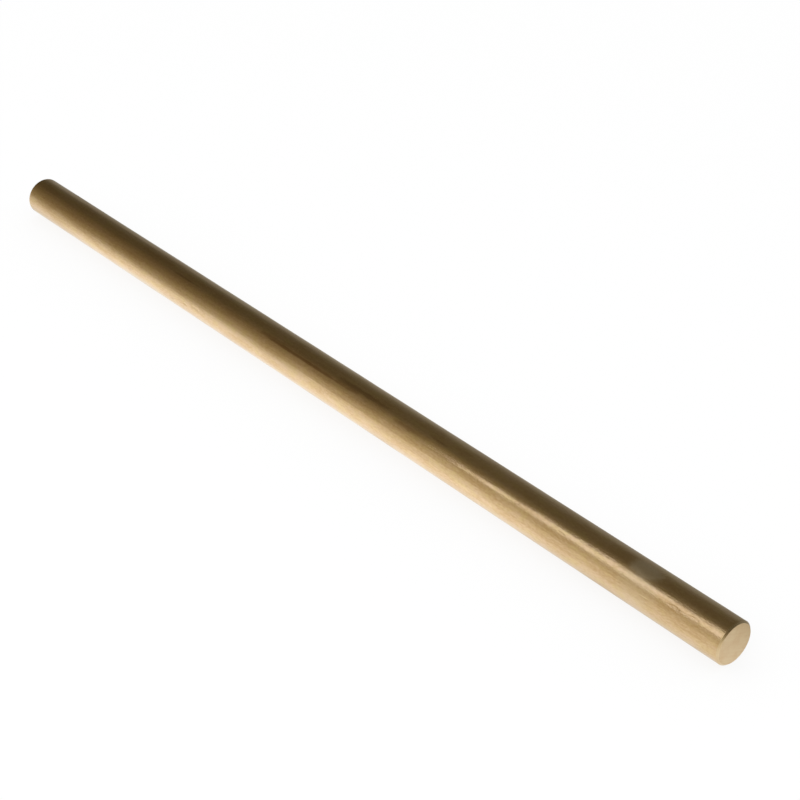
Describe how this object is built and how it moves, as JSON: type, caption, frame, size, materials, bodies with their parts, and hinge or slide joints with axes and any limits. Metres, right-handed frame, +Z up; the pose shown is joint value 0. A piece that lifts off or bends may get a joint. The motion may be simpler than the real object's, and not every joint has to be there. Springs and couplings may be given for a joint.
{
  "type": "brass round rod",
  "caption": "Straight solid round rod of drawn brass with plain sawn ends and a small chamfer on each end edge.",
  "frame": {"origin": "middle of the rod, on its axis", "axes": "+X along the rod's axis, +Z up as the rod lies on a level floor"},
  "size_m": [0.3, 0.012, 0.012],
  "materials": {
    "drawn_brass": "bright drawn, satin, with fine lines along the rod"
  },
  "bodies": {
    "root": {"round_rod": "drawn_brass"}
  },
  "joints": []
}
